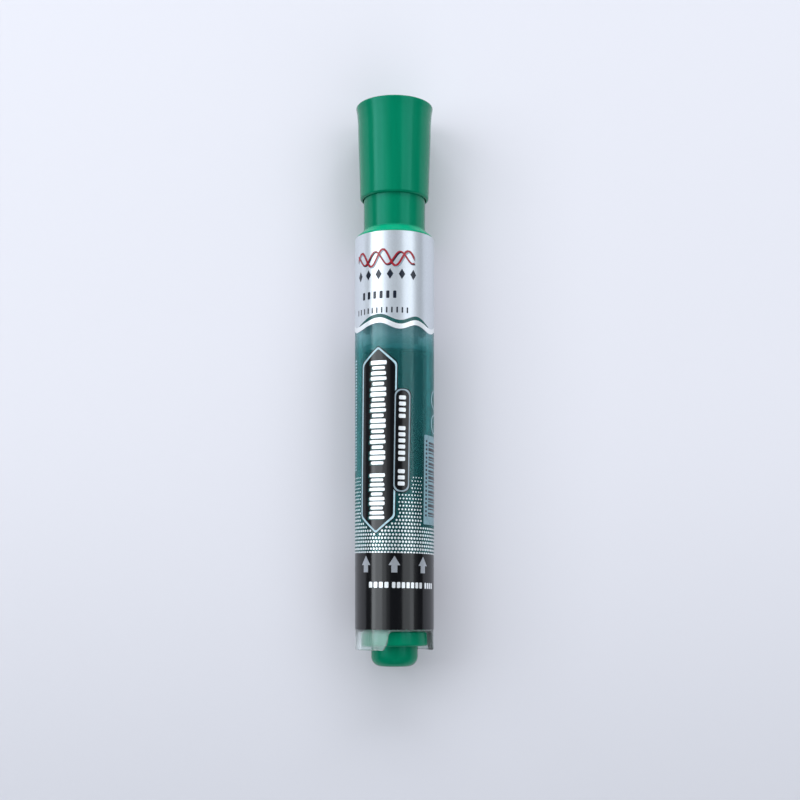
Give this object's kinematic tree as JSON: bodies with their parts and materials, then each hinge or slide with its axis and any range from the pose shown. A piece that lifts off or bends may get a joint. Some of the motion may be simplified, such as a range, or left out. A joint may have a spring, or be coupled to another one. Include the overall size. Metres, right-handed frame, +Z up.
{
  "type": "whiteboard marker",
  "caption": "Push-button whiteboard marker with liquid ink: capped felt nib, valve, translucent ink barrel in a printed sleeve, and a sprung button in the tail.",
  "frame": {"origin": "on the surface that the marker lies on, under the middle of its length", "axes": "+Y along the marker towards the closed end of the cap, +Z up"},
  "size_m": [0.0186, 0.1306, 0.0186],
  "materials": {
    "green_plastic": "smooth moulded, semi-gloss",
    "natural_plastic": "translucent natural polypropylene",
    "label_film": "printed and metallised film with a tinted window",
    "liner_plastic": "natural polyethylene",
    "nib_felt": "pressed fibre, stained with ink",
    "wick_felt": "bonded fibre, soaked with ink",
    "green_ink": "dark green liquid ink",
    "valve_plastic": "acetal, stained with ink",
    "seal_rubber": "black nitrile rubber",
    "spring_steel": "drawn spring wire"
  },
  "bodies": {
    "barrel": {"barrel": "natural_plastic", "label_sleeve": "label_film", "ink_charge": "green_ink", "front_section": "green_plastic", "front_seal": "seal_rubber", "feed_wick": "wick_felt", "nib": "nib_felt", "valve_housing": "valve_plastic", "valve_seat": "seal_rubber", "valve_spring": "spring_steel", "spring_retainer": "valve_plastic", "rear_plug": "green_plastic", "rear_seal": "seal_rubber", "rod_guide": "valve_plastic", "rod_seal": "seal_rubber", "return_spring": "spring_steel"},
    "cap": {"cap_shell": "green_plastic", "inner_cap": "liner_plastic"},
    "button": {"push_button": "green_plastic", "push_rod": "valve_plastic"},
    "poppet": {"valve_poppet": "valve_plastic"}
  },
  "joints": [
    {"name": "cap_pull", "type": "slide", "parent": "barrel", "child": "cap", "axis": [0, 1, 0], "range_m": [0, 0.02]},
    {"name": "button_push", "type": "slide", "parent": "barrel", "child": "button", "axis": [0, 1, 0], "range_m": [0, 0.003], "stiffness_N_per_m": 500, "deforming": ["return_spring"]},
    {"name": "valve_open", "type": "slide", "parent": "barrel", "child": "poppet", "axis": [0, 1, 0], "range_m": [0, 0.003], "stiffness_N_per_m": 100, "deforming": ["valve_spring"]}
  ],
  "couplings": [
    {"joint": "valve_open", "follows": "button_push", "ratio": 1}
  ]
}
